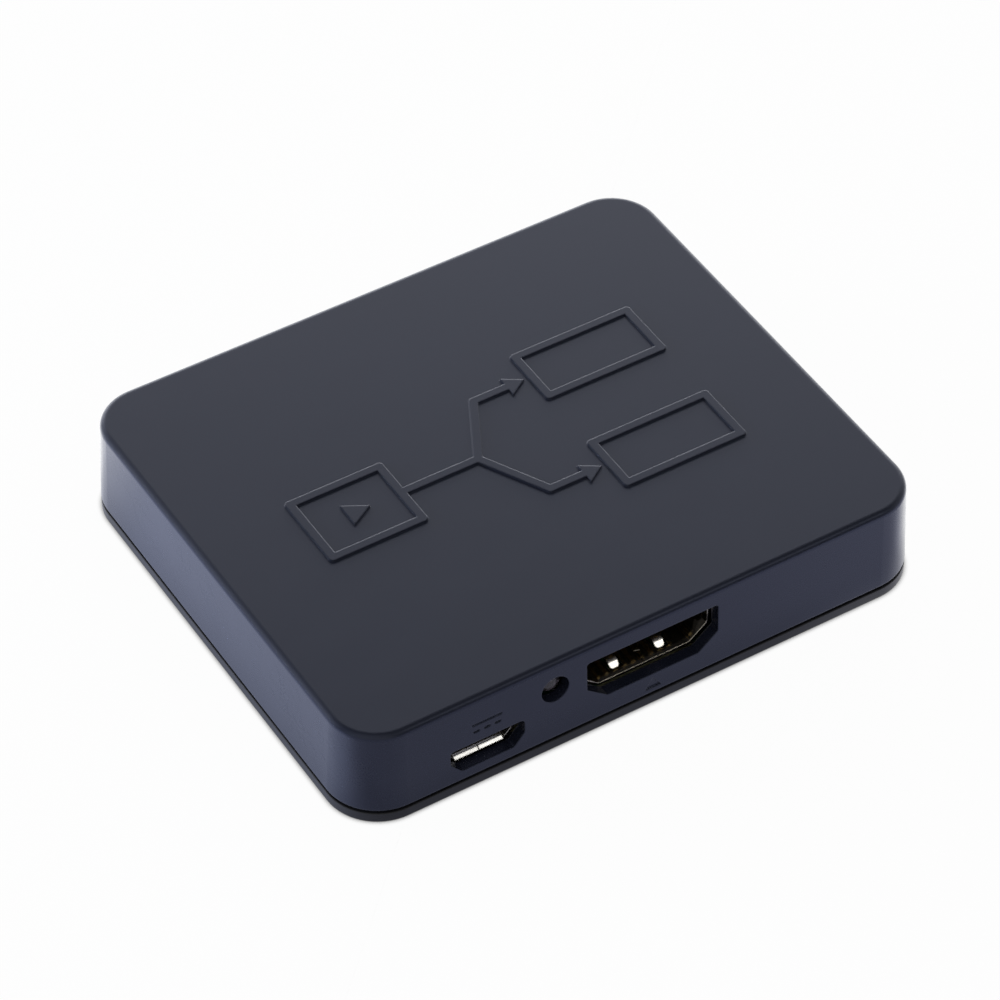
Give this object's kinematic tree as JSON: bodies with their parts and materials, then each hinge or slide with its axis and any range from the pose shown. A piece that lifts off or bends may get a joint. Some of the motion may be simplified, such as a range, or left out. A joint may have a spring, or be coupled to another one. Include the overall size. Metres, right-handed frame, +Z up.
{
  "type": "hdmi splitter",
  "caption": "Low dark plastic case with rounded corners that takes one video input at the front, with a lamp and a small power inlet, and repeats it at outputs on the back.",
  "frame": {"origin": "middle of the underside", "axes": "+X right along the front, +Y from the front with the input to the back with the outputs, +Z up"},
  "size_m": [0.064, 0.0536, 0.0113],
  "materials": {
    "lid_plastic": "satin moulded, dark navy",
    "base_plastic": "satin moulded, near black",
    "screw_steel": "zinc plated",
    "board": "solder mask on glass-fibre laminate",
    "shell_steel": "nickel plated sheet",
    "spring_steel": "nickel plated spring sheet",
    "insulator": "moulded heat-proof plastic",
    "contact_gold": "gold flashed",
    "lamp": "clear moulded lens",
    "tinned_wire": "tinned",
    "chip_body": "moulded package",
    "can_steel": "drawn can",
    "can_aluminium": "drawn can",
    "ferrite": "sintered block",
    "capacitor_ceramic": "sintered chip",
    "resistor_ceramic": "glazed chip"
  },
  "bodies": {
    "case": {"top_cover": "lid_plastic", "bottom_cover": "base_plastic", "case_screws": "screw_steel", "main_board": "board", "power_inlet_shell": "shell_steel", "power_inlet_insulator": "insulator", "power_inlet_contacts": "contact_gold", "lamp_lens": "lamp", "lamp_leads": "tinned_wire", "splitter_chip": "chip_body", "splitter_chip_pins": "tinned_wire", "memory_chip": "chip_body", "memory_chip_pins": "tinned_wire", "regulator": "chip_body", "regulator_leads": "tinned_wire", "crystal_can": "can_steel", "crystal_base": "chip_body", "bulk_capacitors": "can_aluminium", "bulk_capacitor_bases": "chip_body", "power_inductor": "ferrite", "ceramic_capacitors": "capacitor_ceramic", "chip_resistors": "resistor_ceramic", "surge_arrays": "chip_body", "video_in_shell": "shell_steel", "video_in_insulator": "insulator", "video_in_contacts": "contact_gold", "video_out_1_shell": "shell_steel", "video_out_1_insulator": "insulator", "video_out_1_contacts": "contact_gold", "video_out_2_shell": "shell_steel", "video_out_2_insulator": "insulator", "video_out_2_contacts": "contact_gold"},
    "video_in_lower_springs_body": {"video_in_lower_springs": "spring_steel"},
    "video_in_upper_springs_body": {"video_in_upper_springs": "spring_steel"},
    "video_out_1_lower_springs_body": {"video_out_1_lower_springs": "spring_steel"},
    "video_out_1_upper_springs_body": {"video_out_1_upper_springs": "spring_steel"},
    "video_out_2_lower_springs_body": {"video_out_2_lower_springs": "spring_steel"},
    "video_out_2_upper_springs_body": {"video_out_2_upper_springs": "spring_steel"}
  },
  "joints": [
    {"name": "video_in_lower_flex", "type": "hinge", "parent": "case", "child": "video_in_lower_springs_body", "pos_m": [0.00035, -0.0177, 0.00385], "axis": [1, 0, 0], "range_deg": [0, 4.5], "stiffness_Nm_per_rad": 0.2},
    {"name": "video_in_upper_flex", "type": "hinge", "parent": "case", "child": "video_in_upper_springs_body", "pos_m": [0.00035, -0.0177, 0.0087], "axis": [-1, 0, 0], "range_deg": [0, 4.5], "stiffness_Nm_per_rad": 0.2},
    {"name": "video_out_1_lower_flex", "type": "hinge", "parent": "case", "child": "video_out_1_lower_springs_body", "pos_m": [-0.013, 0.0177, 0.00385], "axis": [-1, 0, 0], "range_deg": [0, 4.5], "stiffness_Nm_per_rad": 0.2},
    {"name": "video_out_1_upper_flex", "type": "hinge", "parent": "case", "child": "video_out_1_upper_springs_body", "pos_m": [-0.013, 0.0177, 0.0087], "axis": [1, 0, 0], "range_deg": [0, 4.5], "stiffness_Nm_per_rad": 0.2},
    {"name": "video_out_2_lower_flex", "type": "hinge", "parent": "case", "child": "video_out_2_lower_springs_body", "pos_m": [0.013, 0.0177, 0.00385], "axis": [-1, 0, 0], "range_deg": [0, 4.5], "stiffness_Nm_per_rad": 0.2},
    {"name": "video_out_2_upper_flex", "type": "hinge", "parent": "case", "child": "video_out_2_upper_springs_body", "pos_m": [0.013, 0.0177, 0.0087], "axis": [1, 0, 0], "range_deg": [0, 4.5], "stiffness_Nm_per_rad": 0.2}
  ]
}
